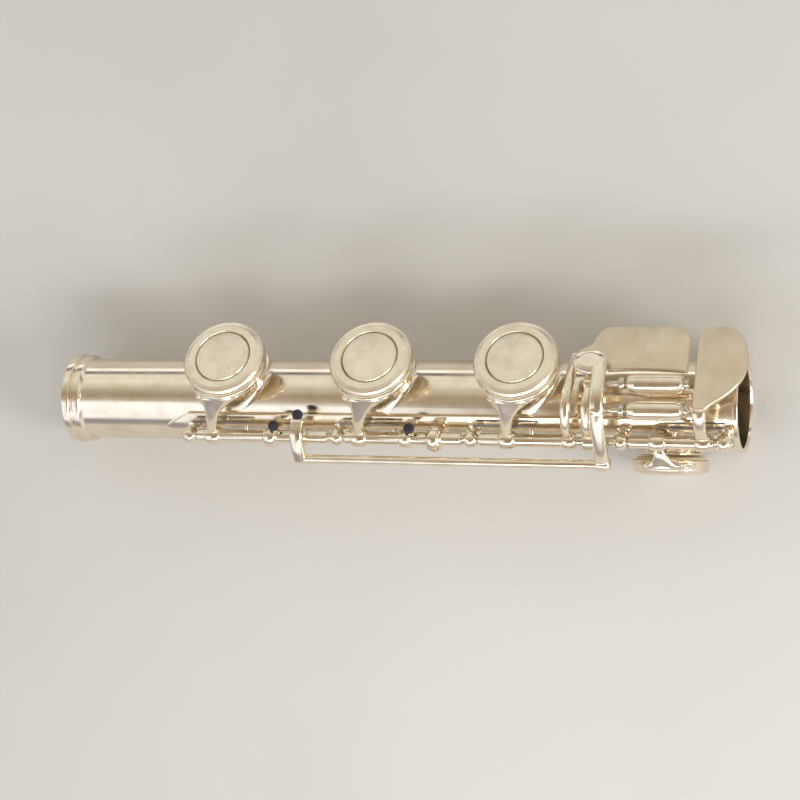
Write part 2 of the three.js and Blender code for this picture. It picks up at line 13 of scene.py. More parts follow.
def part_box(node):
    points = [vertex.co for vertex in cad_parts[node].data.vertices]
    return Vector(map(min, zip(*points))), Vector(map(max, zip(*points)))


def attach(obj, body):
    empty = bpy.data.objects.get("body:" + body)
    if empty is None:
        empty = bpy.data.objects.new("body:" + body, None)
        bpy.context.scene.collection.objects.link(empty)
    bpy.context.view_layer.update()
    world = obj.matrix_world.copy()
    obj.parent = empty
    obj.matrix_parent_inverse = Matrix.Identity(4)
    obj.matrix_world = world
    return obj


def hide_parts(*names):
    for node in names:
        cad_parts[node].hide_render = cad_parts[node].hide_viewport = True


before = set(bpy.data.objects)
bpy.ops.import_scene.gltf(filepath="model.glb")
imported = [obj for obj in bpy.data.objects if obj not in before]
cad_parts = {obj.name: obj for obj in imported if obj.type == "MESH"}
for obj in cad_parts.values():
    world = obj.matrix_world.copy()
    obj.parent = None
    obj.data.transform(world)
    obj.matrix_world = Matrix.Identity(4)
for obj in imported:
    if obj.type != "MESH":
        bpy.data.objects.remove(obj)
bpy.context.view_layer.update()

# ---- dimensions, in millimetres ---------------------------------------------------------------------------

TUBE_OUTER = 9.9
TUBE_BORE = 9.5
TUBE_END = 159.6
SOCKET_START = 158.4
SOCKET_BORE = 10.0
SOCKET_OUTER = 10.8
RING_OUTER = 11.0
LENGTH = 167.7
RIB_OUTER = 10.9           # the outer radius of the strap under the posts

HOLE_RIM = 11.7            # heights above the tube's axis
PAD_FACE = 12.0
CUP_HEIGHT = 4.1           # from a pad's face to the flat of its cup
CUP_RADIUS = 10.0
HOLE_RADIUS = 7.7
D_CUP_RADIUS = 8.8
D_HOLE_RADIUS = 6.5
RING_SHARE = 0.67          # the engraved ring's radius as a share of the cup's

ROD_DISTANCE = 14.34       # from the tube's axis to the hinge rod's
ROD_ANGLE = 80.6           # degrees about the tube, from the shut pads' way towards the rod
D_HOLE_ANGLE = 133.5
OPEN_ANGLE = 14.0
OPEN_SPREAD = (-38, 76)    # degrees round a cup, from where its arm's wings start to where they end
D_SPREAD = (-50, 50)
ARM_FOOT = 0.9             # how far over the hinge line the arm is centred where it starts
D_ARM_FOOT = 0.8

# Radii of round pieces, and how softly a touch plate is edged.
STEEL = 1.0
HINGE = 1.55
BALL = 2.0
BOSS = 2.25
D_BOSS = 2.1
AXLE = 0.75
ROLLER = 2.35
BRIDGE = 1.1
BUMPER = 1.3
TOUCH_EDGE = 0.5

# Places in a key's own frame: Y from the rod over the tube, Z outwards.
BRIDGE_PLACE = (-4.8, -2.2)
LINK_TOP = (1.4, 4.2)
C_ROLLER_PLACE = (9.7, 9.66)
B_ROLLER_PLACE = (4.3, 7.1)

TUBE_SIDES = 144
LATHE_SIDES = 96
ROD_SIDES = 48
CREASE = 35                # degrees: a sharper edge isn't shaded smooth

# ---- frames taken from the CAD ----------------------------------------------------------------------------


def middle(node):
    """The middle of a CAD node's box, in metres."""
    low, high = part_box(node)
    return (low + high) / 2


START_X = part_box("end_ring")[0].x
AXIS = middle("end_ring")
ROD = middle("b_hinge_steel")
ROLL = math.atan2(AXIS.y - ROD.y, ROD.z - AXIS.z) - math.radians(ROD_ANGLE)
SCALE = Matrix.Scale(0.001, 4)


def turned_about(point, angle):
    """The matrix from millimetres along the tube and about a point of its cross-section to the row frame."""
    place = Matrix.Translation((START_X, point.y, point.z))
    return place @ Matrix.Rotation(ROLL + math.radians(angle), 4, "X") @ SCALE


TUBE = turned_about(AXIS, 0)
OPEN_KEY = turned_about(ROD, OPEN_ANGLE)
D_CUP_SIDE = turned_about(ROD, D_HOLE_ANGLE)
TO_X = Matrix.Rotation(math.pi / 2, 4, "Y")    # lays a form that stands on Z along X


def along(node):
    """How far the middle of a CAD node lies from the open end, in millimetres."""
    return (middle(node).x - START_X) * 1000


def span(node):
    """Where a CAD node starts and ends along the tube, in millimetres."""
    low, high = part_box(node)
    return (low.x - START_X) * 1000, (high.x - START_X) * 1000


# ---- forms: lists of points and faces, in millimetres -----------------------------------------------------


def moved(form, *matrices):
    """The form after the last matrix, then the one before it, and so on to the first."""
    matrix = Matrix.Identity(4)
    for factor in matrices:
        matrix = matrix @ factor
    return [matrix @ p for p in form[0]], form[1]


def at(x=0.0, y=0.0, z=0.0):
    return Matrix.Translation((x, y, z))


def merged(*forms):
    """Several forms as one."""
    points, faces = [], []
    for form in forms:
        first = len(points)
        points += form[0]
        faces += [tuple(first + i for i in face) for face in form[1]]
    return points, faces


def vectors(*pairs):
    return [Vector(pair) for pair in pairs]


def curve(a, b, c, d=None, steps=12):
    """Points of a quadratic curve a, b, c, or of a cubic one with d, without the first."""
    made = []
    for k in range(1, steps + 1):
        t = k / steps
        ab, bc = a.lerp(b, t), b.lerp(c, t)
        made.append(ab.lerp(bc, t) if d is None else ab.lerp(bc, t).lerp(bc.lerp(c.lerp(d, t), t), t))
    return made


def rounded(outline, steps=5):
    """A closed outline of (a, b) or (a, b, radius) corners, with a curve in place of each corner that has
    a radius."""
    result = []
    count = len(outline)
    for i, corner in enumerate(outline):
        here = Vector(corner[:2])
        radius = corner[2] if len(corner) > 2 else 0
        before = Vector(outline[i - 1][:2]) - here
        after = Vector(outline[(i + 1) % count][:2]) - here
        if radius <= 0:
            result.append(here)
            continue
        half = before.angle(after) / 2
        reach = min(radius / math.tan(half), 0.49 * before.length, 0.49 * after.length)
        one = here + before.normalized() * reach
        two = here + after.normalized() * reach
        for k in range(steps + 1):
            t = k / steps
            result.append(one.lerp(here, t).lerp(here.lerp(two, t), t))
    return result


def lathe(outline, sides=LATHE_SIDES):
    """A closed outline of (height, radius) or (height, radius, corner radius), turned about Z."""
    profile = rounded(outline)
    points, rows = [], []
    for height, radius in profile:
        first = len(points)
        if radius < 1e-6:
            points.append(Vector((0, 0, height)))
            rows.append([first] * sides)
            continue
        for k in range(sides):
            angle = 2 * math.pi * k / sides
            points.append(Vector((radius * math.cos(angle), radius * math.sin(angle), height)))
        rows.append(list(range(first, first + sides)))
    faces = []
    for i, row in enumerate(rows):
        following = rows[(i + 1) % len(rows)]
        for k in range(sides):
            n = (k + 1) % sides
            ring = [row[k], row[n], following[n], following[k]]
            ring = [v for j, v in enumerate(ring) if v not in ring[:j]]
            if len(ring) > 2:
                faces.append(tuple(ring))
    return points, faces


def rod(start, end, radius, edge=0.12):
    """A round bar along X with softened ends."""
    outline = [(start, 0), (start, radius, edge), (end, radius, edge), (end, 0)]
    return moved(lathe(outline, ROD_SIDES), TO_X)


def ball(centre, radius, sides=40):
    """A ball turned from a half circle."""
    steps = sides // 2
    outline = [(-radius * math.cos(math.pi * k / steps), radius * math.sin(math.pi * k / steps))
               for k in range(1, steps)]
    outline = [(-radius, 0), *outline, (radius, 0)]
    return moved(lathe(outline, sides), at(*centre))


def smooth_line(corners, steps=8):
    """Points of a Catmull-Rom curve through the corners."""
    ends = [2 * corners[0] - corners[1], *corners, 2 * corners[-1] - corners[-2]]
    line = []
    for i in range(1, len(ends) - 2):
        a, b, c, d = ends[i - 1:i + 3]
        for k in range(steps):
            t = k / steps
            line.append(0.5 * (2 * b + (c - a) * t + (2 * a - 5 * b + 4 * c - d) * t ** 2
                               + (3 * b - a - 3 * c + d) * t ** 3))
    line.append(corners[-1].copy())
    return line


CAP_TURNS = (1.45, 1.1, 0.7, 0.35)    # radians towards a bar's end, for the rings of its round cap


def sweep(line, across, sizes, sides=20, power=2.6):
    """A soft-cornered bar along the line. sizes gives, at each point, its half width along the direction
    across and its half thickness square to that."""
    across = Vector(across).normalized()
    rings = []
    last = len(line) - 1

    def ring(centre, tangent, wide, thick):
        normal = across.cross(tangent).normalized()
        made = []
        for k in range(sides):
            angle = 2 * math.pi * k / sides
            c, s = math.cos(angle), math.sin(angle)
            u = math.copysign(abs(c) ** (2 / power), c) * wide
            v = math.copysign(abs(s) ** (2 / power), s) * thick
            made.append(centre + across * u + normal * v)
        return made

    for i, centre in enumerate(line):
        tangent = (line[min(i + 1, last)] - line[max(i - 1, 0)]).normalized()
        wide, thick = sizes(i / last)
        if i in (0, last):
            way = -tangent if i == 0 else tangent
            caps = [ring(centre + way * thick * math.sin(turn), tangent, wide * math.cos(turn) ** 0.5,
                         thick * math.cos(turn)) for turn in CAP_TURNS]
            body = ring(centre, tangent, wide, thick)
            rings += [*caps, body] if i == 0 else [body, *reversed(caps)]
        else:
            rings.append(ring(centre, tangent, wide, thick))
    points = [p for made in rings for p in made]
    faces = [tuple(reversed(range(sides))), tuple(range(len(points) - sides, len(points)))]
    for r in range(len(rings) - 1):
        for k in range(sides):
            n = (k + 1) % sides
            faces.append((r * sides + k, r * sides + n, (r + 1) * sides + n, (r + 1) * sides + k))
    return points, faces


def bar(corners, half, x, width, lean=0.0, power=2.6):
    """A bar through (y, z) corners, as wide along X as width says and 2 * half thick. It is centred on x
    at y = 0, and moves by lean in X for each millimetre in Y."""
    line = smooth_line([Vector((x + lean * y, y, z)) for y, z in corners])
    return sweep(line, (1, 0, 0), lambda t: (width / 2, half), power=power)


def plate(outline, low, high, edge):
    """A flat plate of the XY outline with rounded edges."""
    mesh = bmesh.new()
    face = mesh.faces.new([mesh.verts.new((x, y, low)) for x, y in outline])
    made = bmesh.ops.extrude_face_region(mesh, geom=[face])
    top = [v for v in made["geom"] if isinstance(v, bmesh.types.BMVert)]
    bmesh.ops.translate(mesh, verts=top, vec=(0, 0, high - low))
    rim = [e for e in mesh.edges if abs(e.verts[0].co.z - e.verts[1].co.z) < 1e-6]
    bmesh.ops.bevel(mesh, geom=rim, offset=edge, segments=4, profile=0.5, affect="EDGES")
    mesh.verts.index_update()
    form = [v.co.copy() for v in mesh.verts], [tuple(v.index for v in f.verts) for f in mesh.faces]
    mesh.free()
    return form


def to_mesh(form, name):
    """A clean mesh of the form, with its faces turned outwards."""
    mesh = bpy.data.meshes.new(name)
    mesh.from_pydata([tuple(p) for p in form[0]], [], form[1])
    fixed = bmesh.new()
    fixed.from_mesh(mesh)
    bmesh.ops.remove_doubles(fixed, verts=fixed.verts, dist=1e-7)
    bmesh.ops.recalc_face_normals(fixed, faces=fixed.faces)
    fixed.to_mesh(mesh)
    fixed.free()
    return mesh


def with_modifiers(form, add):
    """The form after the modifiers that add(object) puts on it."""
    thing = bpy.data.objects.new("making", to_mesh(form, "making"))
    bpy.context.scene.collection.objects.link(thing)
    add(thing)
    shown = thing.evaluated_get(bpy.context.evaluated_depsgraph_get())
    mesh = shown.to_mesh()
    result = [v.co.copy() for v in mesh.vertices], [tuple(p.vertices) for p in mesh.polygons]
    shown.to_mesh_clear()
    bpy.data.objects.remove(thing)
    return result


def cast(*forms, grain=0.14, soften=7):
    """Forms melted into one casting whose joins are filleted."""
    def add(thing):
        melt = thing.modifiers.new("melt", "REMESH")
        melt.mode = "VOXEL"
        melt.voxel_size = grain
        soft = thing.modifiers.new("soft", "SMOOTH")
        soft.factor = 0.5
        soft.iterations = soften
    return with_modifiers(merged(*forms), add)


def cut_from(form, tools):
    """The form with each tool taken out of it."""
    cutters = []

    def add(thing):
        for tool in tools:
            cutter = bpy.data.objects.new("cutter", to_mesh(tool, "cutter"))
            bpy.context.scene.collection.objects.link(cutter)
            cutters.append(cutter)
            cut = thing.modifiers.new("cut", "BOOLEAN")
            cut.solver = "EXACT"
            cut.operation = "DIFFERENCE"
            cut.object = cutter
    result = with_modifiers(form, add)
    for cutter in cutters:
        bpy.data.objects.remove(cutter)
    return result


# ---- materials --------------------------------------------------------------------------------------------


class Nodes:
    """The node tree of a material or of the world, with the steps that several of them share."""

    def __init__(self, owner, coordinates="Object"):
        owner.use_nodes = True
        self.tree = owner.node_tree
        self.where = self.add("TexCoord").outputs[coordinates]

    def add(self, kind):
        return self.tree.nodes.new(f"ShaderNode{kind}")

    def link(self, source, target):
        self.tree.links.new(source, target)

    def give(self, socket, value):
        """Links the socket to the value, or sets it where the value is plain."""
        if isinstance(value, bpy.types.NodeSocket):
            self.link(value, socket)
        else:
            socket.default_value = value

    def noise(self, scale, detail=3.0, stretch=(1, 1, 1), roughness=0.5):
        mapping = self.add("Mapping")
        mapping.inputs["Scale"].default_value = stretch
        self.link(self.where, mapping.inputs["Vector"])
        noise = self.add("TexNoise")
        noise.inputs["Scale"].default_value = scale
        noise.inputs["Detail"].default_value = detail
        noise.inputs["Roughness"].default_value = roughness
        self.link(mapping.outputs["Vector"], noise.inputs["Vector"])
        return noise.outputs["Fac"]

    def spread(self, source, low, high, start=0.35, end=0.65):
        """The source, stretched from its range start..end to low..high."""
        node = self.add("MapRange")
        for socket, value in (("From Min", start), ("From Max", end), ("To Min", low), ("To Max", high)):
            node.inputs[socket].default_value = value
        self.link(source, node.inputs["Value"])
        return node.outputs["Result"]

    def blend(self, factor, one, two):
        """The colour one where the factor is 0 and two where it is 1."""
        node = self.add("Mix")
        node.data_type = "RGBA"
        self.link(factor, node.inputs[0])
        self.give(node.inputs[6], one)
        self.give(node.inputs[7], two)
        return node.outputs[2]

    def bump(self, height, depth, before=None):
        """A normal bent by the height, depth metres deep, on top of the bump before it."""
        node = self.add("Bump")
        node.inputs["Strength"].default_value = 1.0
        node.inputs["Distance"].default_value = depth
        self.link(height, node.inputs["Height"])
        if before is not None:
            self.link(before, node.inputs["Normal"])
        return node.outputs["Normal"]

    def maths(self, operation, one, two):
        node = self.add("Math")
        node.operation = operation
        self.give(node.inputs[0], one)
        self.give(node.inputs[1], two)
        return node.outputs[0]


def start_material(name):
    """A new material, its nodes and its shader's inputs."""
    material = bpy.data.materials.new(name)
    nodes = Nodes(material)
    return material, nodes, nodes.tree.nodes["Principled BSDF"].inputs


def metal(name, clean, dull, polish, wear, marks, grain=(1, 1, 1)):
    """Polished metal. clean and dull are its colours, polish its lowest and highest roughness, wear how far
    dull patches mix in, marks the depth in metres of its fine handling marks, and grain the stretch that
    gives them a direction."""
    material, nodes, shader = start_material(name)
    patches = nodes.spread(nodes.noise(210, 6, roughness=0.62), 0.0, wear, 0.42, 0.66)
    specks = nodes.spread(nodes.noise(2600, 3), 0.0, wear * 0.5, 0.56, 0.74)
    colour = nodes.blend(patches, (*clean, 1), (*dull, 1))
    nodes.link(nodes.blend(specks, colour, (*dull, 1)), shader["Base Color"])
    smears = nodes.noise(120, 5, roughness=0.7)
    nodes.link(nodes.spread(smears, *polish, 0.35, 0.7), shader["Roughness"])
    scratches = nodes.bump(nodes.noise(1500, 4, grain, 0.75), marks)
    dents = nodes.bump(nodes.noise(95, 2), marks * 9, scratches)
    nodes.link(dents, shader["Normal"])
    shader["Metallic"].default_value = 1.0
    return material


def soft_skin(name, light, dark, scale, depth, sheen):
    """Pad skin or felt. scale is its fibres' and depth is how deep they stand, in metres."""
    material, nodes, shader = start_material(name)
    fibres = nodes.noise(scale, 6, roughness=0.7)
    nodes.link(nodes.blend(nodes.spread(fibres, 0, 1), (*dark, 1), (*light, 1)), shader["Base Color"])
    nodes.link(nodes.spread(nodes.noise(scale / 4), 0.6, 0.9), shader["Roughness"])
    nodes.link(nodes.bump(fibres, depth), shader["Normal"])
    shader["Sheen Weight"].default_value = sheen
    return material


SILVER = (0.90, 0.81, 0.66)
TARNISH = (0.62, 0.49, 0.33)
# The touch plates' silver, darker and browner than SILVER: painted shade standing in for the brown
# surroundings that the plates reflect
SHADED_SILVER = (0.74, 0.62, 0.48)
ENGRAVED = (0.34, 0.26, 0.17)
ENGRAVED_DULL = (0.16, 0.12, 0.08)
STEEL_CLEAN = (0.72, 0.66, 0.56)
STEEL_DULL = (0.44, 0.38, 0.30)
NEEDLE = (0.30, 0.29, 0.29)
NEEDLE_DULL = (0.15, 0.14, 0.15)
DRAWN = (0.08, 1, 1)       # marks stretched along X
GROUND = (0.1, 1, 1)
MATERIALS = {
    "tube": metal("silver_tube", SILVER, TARNISH, (0.10, 0.22), 0.30, 3e-7, DRAWN),
    "cup": metal("silver_cup", SILVER, TARNISH, (0.20, 0.38), 0.42, 9e-7),
    # touch plates: the same silver, darkened as painted shade, with rougher polish
    "touch": metal("silver_touch_shaded", SHADED_SILVER, TARNISH, (0.26, 0.42), 0.50, 8e-7),
    "engraving": metal("engraved_ring", ENGRAVED, ENGRAVED_DULL, (0.35, 0.55), 0.6, 5e-7),
    "keywork": metal("silver_keywork", SILVER, TARNISH, (0.12, 0.28), 0.38, 5e-7),
    "steel": metal("hinge_steel", STEEL_CLEAN, STEEL_DULL, (0.2, 0.34), 0.4, 4e-7, GROUND),
    "spring": metal("spring_needle", NEEDLE, NEEDLE_DULL, (0.25, 0.4), 0.5, 3e-7, GROUND),
    "pad": soft_skin("pad_skin", (0.80, 0.70, 0.50), (0.66, 0.54, 0.36), 700, 2e-5, 0.1),
    "felt": soft_skin("bumper_felt", (0.030, 0.024, 0.052), (0.010, 0.008, 0.020), 2600, 8e-5, 0.15),
}


def piece(name, node, body, finish, form, matrix):
    """Makes the form into a piece that stands for a CAD node and moves with its body."""
    mesh = to_mesh(moved(form, matrix), name)
    mesh.shade_smooth()
    mesh.set_sharp_from_angle(angle=math.radians(CREASE))
    mesh.materials.append(MATERIALS[finish])
    made = bpy.data.objects.new(name, mesh)
    bpy.context.scene.collection.objects.link(made)
    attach(made, body)
    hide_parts(node)
    return made


# ---- tube, rings, rib and posts ---------------------------------------------------------------------------

# Each tone hole's place along the tube, its angle about the tube and its radius.
HOLES = [(along(f"{key}_pad"), 0.0, HOLE_RADIUS) for key in ("b", "c", "c_sharp")]
HOLES.append((along("d_sharp_pad"), D_HOLE_ANGLE, D_HOLE_RADIUS))
DRILL = (5, 15)            # where a hole's cutter starts and ends, above the tube's axis


def chimney(radius):
    """A drawn tone hole: a wall flowing up out of the tube to a rolled rim. Z is its axis."""
    wall = radius + 0.45
    flare = 1.3
    lip = 0.42
    columns = []
    for k in range(LATHE_SIDES):
        angle = 2 * math.pi * k / LATHE_SIDES
        aside = math.sin(angle)

        def skin(r, tube):
            """How high the tube's wall lies at a distance r from the hole's axis, this way round."""
            return math.sqrt(tube ** 2 - (r * aside) ** 2)

        foot = Vector((wall + flare, skin(wall + flare, TUBE_OUTER) - 0.02))
        corner = Vector((wall, skin(wall, TUBE_OUTER)))
        up = Vector((wall, skin(wall, TUBE_OUTER) + flare))
        profile = [foot, *curve(foot, corner, up, steps=6)]
        centre = Vector((radius + lip, HOLE_RIM - lip))
        for step in range(11):
            turn = math.radians(-70 + 25 * step)
            profile.append(centre + lip * Vector((math.cos(turn), math.sin(turn))))
        profile.append(Vector((radius, skin(radius, TUBE_BORE))))
        columns.append([Vector((r * math.cos(angle), r * aside, h)) for r, h in profile])
    rows = len(columns[0])
    points = [p for column in columns for p in column]
    faces = []
    for k in range(LATHE_SIDES):
        n = (k + 1) % LATHE_SIDES
        for i in range(rows):
            j = (i + 1) % rows
            faces.append((k * rows + i, n * rows + i, n * rows + j, k * rows + j))
    return points, faces


def make_tube():
    walls = [(0, TUBE_BORE, 0.1), (0, TUBE_OUTER, 0.1), (TUBE_END, TUBE_OUTER), (TUBE_END, TUBE_BORE)]
    tube = moved(lathe(walls, TUBE_SIDES), TO_X)
    low, high = DRILL
    drills, chimneys = [], []
    for x, angle, radius in HOLES:
        place = at(x) @ Matrix.Rotation(math.radians(angle), 4, "X")
        drills.append(moved(lathe([(low, 0), (low, radius), (high, radius), (high, 0)]), place))
        chimneys.append(moved(chimney(radius), place))
    open_tube = cut_from(tube, drills)
    piece("tube", "body_tube", "tube_body", "tube", merged(open_tube, *chimneys), TUBE)


def make_rings():
    outline = [
        (0, TUBE_OUTER), (0, RING_OUTER, 0.35), (1.8, RING_OUTER, 0.55),
        (2.15, RING_OUTER - 0.65, 0.15), (2.55, RING_OUTER - 0.65, 0.15), (2.85, RING_OUTER - 0.2, 0.3),
        (4.3, RING_OUTER - 0.25, 0.4), (4.8, TUBE_OUTER + 0.25, 0.15), (5.0, TUBE_OUTER),
    ]
    ring = moved(lathe(outline, TUBE_SIDES), TO_X)
    piece("open_end_ring", "end_ring", "tube_body", "tube", ring, TUBE)
    outline = [
        (SOCKET_START, TUBE_OUTER), (SOCKET_START, SOCKET_OUTER - 0.4, 0.1),
        (SOCKET_START + 0.5, SOCKET_OUTER, 0.2),
        (LENGTH - 1.1, SOCKET_OUTER, 0.1), (LENGTH - 0.95, RING_OUTER, 0.15), (LENGTH, RING_OUTER, 0.35),
        (LENGTH, SOCKET_BORE + 0.3, 0.1), (LENGTH - 0.5, SOCKET_BORE, 0.1), (TUBE_END, SOCKET_BORE),
        (TUBE_END, TUBE_OUTER),
    ]
    sleeve = moved(lathe(outline, TUBE_SIDES), TO_X)
    piece("socket", "socket_sleeve", "tube_body", "tube", sleeve, TUBE)


def make_rib():
    """The strap under the posts: a strip of the tube's own curve with a pointed end, cut back beside the
    D sharp hole."""
    start, end = span("post_rib")
    widest = 3.6
    tip = 6.0
    clear = 1.2
    side = [(-1.0, TUBE_OUTER - 0.1), (-1.0, RIB_OUTER - 0.22), (-0.93, RIB_OUTER)]
    top = [(-0.6 + 0.2 * k, RIB_OUTER) for k in range(7)]
    section = side + top + [(-v, r) for v, r in reversed(side)]
    hole_x, hole_angle, hole_radius = HOLES[-1]
    away = math.radians(hole_angle - ROD_ANGLE) * RIB_OUTER
    rows = []
    steps = 260
    for i in range(steps + 1):
        x = start + (end - start) * i / steps
        half = min(widest, widest * (x - start) / tip + 0.05, 0.4 + math.sqrt(max(0, 4 * (end - x))))
        beside = (hole_radius + clear) ** 2 - (x - hole_x) ** 2
        low_half = min(half, away - math.sqrt(beside)) if beside > 0 else half
        row = []
        for v, radius in section:
            turn = (v * half if v < 0 else v * low_half) / RIB_OUTER
            angle = math.radians(ROD_ANGLE) + turn
            row.append(Vector((x, -radius * math.sin(angle), radius * math.cos(angle))))
        rows.append(row)
    width = len(section)
    points = [p for row in rows for p in row]
    faces = [tuple(range(width)), tuple(reversed(range(len(points) - width, len(points))))]
    for r in range(len(rows) - 1):
        for k in range(width):
            n = (k + 1) % width
            faces.append((r * width + k, r * width + n, (r + 1) * width + n, (r + 1) * width + k))
    piece("rib", "post_rib", "tube_body", "keywork", (points, faces), TUBE)


def make_posts():
    neck = 0.95
    to_rod = Matrix.Rotation(math.radians(ROD_ANGLE), 4, "X")
    for number in range(1, 6):
        node = f"post_{number}"
        x = along(node)
        seat = (SOCKET_OUTER if x > SOCKET_START else RIB_OUTER) - 0.1
        outline = [(seat, 0), (seat, 1.8, 0.1), (seat + 0.45, 1.75, 0.3), (seat + 0.8, neck, 0.4)]
        low = math.asin(neck / BALL)
        for step in range(17):
            turn = math.pi - low - (math.pi - low) * step / 16
            outline.append((ROD_DISTANCE + BALL * math.cos(turn), BALL * math.sin(turn)))
        outline[-1] = (ROD_DISTANCE + BALL, 0)
        post = moved(lathe(outline, 64), to_rod)
        piece(f"ball_post_{number}", node, "tube_body", "keywork", post, TUBE @ at(x))


def slotted_rod(start, end, slot_end):
    """A hinge steel with a soft-edged, slotted head at slot_end."""
    deep, half_wide, long = 0.5, 0.16, 2
    steel = rod(start, end, STEEL, edge=0.3)
    low, high = slot_end - deep, slot_end + deep
    slot = plate([(low, -long), (high, -long), (high, long), (low, long)], -half_wide, half_wide, 0.01)
    return cut_from(steel, [moved(slot, Matrix.Rotation(0.6, 4, "X"))])


def make_steels():
    on_rod = turned_about(ROD, 0)
    start, end = span("b_hinge_steel")
    piece("b_steel", "b_hinge_steel", "tube_body", "steel", slotted_rod(start, end, start), on_rod)
    start, end = span("d_sharp_hinge_steel")
    steel = slotted_rod(start, end, end)
    piece("d_sharp_steel", "d_sharp_hinge_steel", "tube_body", "steel", steel, on_rod)
    start, end = span("c_hinge_steel")
    piece("c_steel", "c_hinge_steel", "c_key", "steel", rod(start, end, STEEL), on_rod)


def make_springs():
    """Needle springs, tapering away from the post that holds them."""
    for key in ("b", "c", "c_sharp", "d_sharp"):
        node = f"{key}_spring"
        start, end = span(node)
        centre = middle(node)
        needle = [(start, 0), (start, 0.3, 0.1), (end - 3, 0.3, 0.2), (end, 0.16, 0.1), (end, 0)]
        if key == "d_sharp":
            needle = [(start + end - h, *rest) for h, *rest in reversed(needle)]
        place = Matrix.Translation((START_X, centre.y, centre.z)) @ SCALE
        piece(f"{key}_needle", node, "tube_body", "spring", moved(lathe(needle, 16), TO_X), place)


# ---- keys -------------------------------------------------------------------------------------------------


def hinge_tube(start, end, collars, hook):
    """A hinge tube with ball-like collars, each (x, width, radius), and a spring hook."""
    outline = [(start, STEEL + 0.04), (start, HINGE, 0.12)]
    foot = HINGE + 0.15
    for x, width, radius in sorted(collars):
        half = width / 2
        outline += [(x - half - 0.15, HINGE, 0.08), (x - half, HINGE + 0.12, 0.08)]
        for step in range(13):
            turn = math.pi * (step / 12 - 0.5)
            bulge = math.cos(turn) ** 0.8 if 0 < step < 12 else 0.0
            outline.append((x + half * math.sin(turn) * 0.98, foot + (radius - foot) * bulge))
        outline += [(x + half, HINGE + 0.12, 0.08), (x + half + 0.15, HINGE, 0.08)]
    outline += [(end, HINGE, 0.12), (end, STEEL + 0.04)]
    lug = vectors((hook, 1.0, 0.8), (hook, 1.5, 1.2), (hook, 1.95, 1.56))
    horn = sweep(lug, (1, 0, 0), lambda t: (0.45, 0.42 - 0.12 * t), 16)
    return merged(moved(lathe(outline, 64), TO_X), horn)


def cup_form(level, radius):
    """A key cup: a soft-edged rim round an engraved ring and a low dome. Z points away from the tube."""
    top = level + CUP_HEIGHT
    groove = radius * RING_SHARE
    dome = groove - 0.28
    outline = [(top + 0.38 * (1 - (k / 8) ** 2), dome * k / 8) for k in range(8)]
    outline += [
        (top, dome, 0.1), (top - 0.32, groove - 0.08, 0.05), (top - 0.32, groove + 0.12, 0.05),
        (top, groove + 0.3, 0.1), (top - 0.05, radius - 1.5, 1.0), (top - 0.35, radius - 0.45, 0.5),
        (top - 1.0, radius, 0.6), (level + 1.3, radius, 0.2), (level + 1.0, radius + 0.12, 0.1),
        (level + 0.85, radius - 0.1, 0.1), (level + 0.85, radius - 0.6, 0.1),
        (top - 0.9, radius - 0.6, 0.3), (top - 0.9, 0),
    ]
    return lathe(outline, 128)


def pad_form(level, radius):
    """A pad: a felt disc in skin, pressed to a soft bulge."""
    face = radius - 0.65
    outline = [
        (level - 0.05, 0), (level, face - 2.6, 2.0), (level + 0.12, face - 0.7, 0.6),
        (level + 0.7, face, 0.5), (level + 2.9, face), (level + 2.9, 0),
    ]
    return lathe(outline)


def fork_form(x, boss, reach, level, radius, spread, foot_height):
    """A cup arm: a tapering stem off the hinge tube at boss that splits into two wings along the side of the
    cup at x."""
    wing_radius = radius + 0.3
    height = level + 2.0
    centre = Vector((x, reach, height))
    arc = []
    for k in range(33):
        turn = math.radians(spread[0] + (spread[1] - spread[0]) * k / 32 - 90)
        arc.append(centre + wing_radius * Vector((math.cos(turn), math.sin(turn), 0)))

    def wing_size(t):
        taper = min(1.0, 0.35 + 3.2 * min(t, 1 - t))
        return 1.0 * taper, 0.75 * taper

    wings = sweep(arc, (0, 0, 1), wing_size)
    top = Vector((x - 0.3, reach - wing_radius - 0.15, height - 0.2))
    foot = Vector((boss, 0.2, foot_height))
    waist = foot.lerp(top, 0.5) + Vector(((boss - x) * 0.12, -0.5, 0))
    stem = sweep(smooth_line([foot, waist, top]), (1, 0, 0),
                 lambda t: (1.25 + 0.3 * t + 2.6 * t ** 4, 0.95 - 0.2 * t))
    webs = []
    for side in (-1, 1):
        out = centre + wing_radius * Vector((0.36 * side, -0.933, 0))
        line = [foot.lerp(top, 0.6), foot.lerp(top, 0.8) + Vector((1.6 * side, 0, 0)),
                out + Vector((0.6 * side, -0.1, -0.3))]
        webs.append(sweep(smooth_line(line), (1, 0.2, 0), lambda t: (1.3, 0.6)))
    return cast(wings, stem, *webs)


def make_cup(key, reach, level, radius, boss, foot_height, spread, place):
    """A key's cup, pad and cup arm. reach is how far the cup's middle lies from the hinge line, and level
    the height of the pad's face over it."""
    x = along(f"{key}_pad")
    body = f"{key}_key"
    cup_place = place @ at(x, reach, 0)
    shell = piece(f"{key}_cup_shell", f"{key}_cup", body, "cup", cup_form(level, radius), cup_place).data
    shell.materials.append(MATERIALS["engraving"])
    to_cup = cup_place.inverted()
    for face in shell.polygons:
        spot = to_cup @ face.center
        from_ring = spot.xy.length - radius * RING_SHARE
        if abs(from_ring) < 0.15 and spot.z > level + CUP_HEIGHT - 0.5:
            face.material_index = 1
    piece(f"{key}_cup_pad", f"{key}_pad", body, "pad", pad_form(level, radius), cup_place)
    if reach > 0:
        fork = fork_form(x, boss, reach, level, radius, spread, foot_height)
    else:
        half_turn = Matrix.Rotation(math.pi, 4, "Z")
        fork = moved(fork_form(-x, -boss, -reach, level, radius, spread, foot_height), half_turn)
    piece(f"{key}_fork", f"{key}_cup_arm", body, "keywork", fork, place)


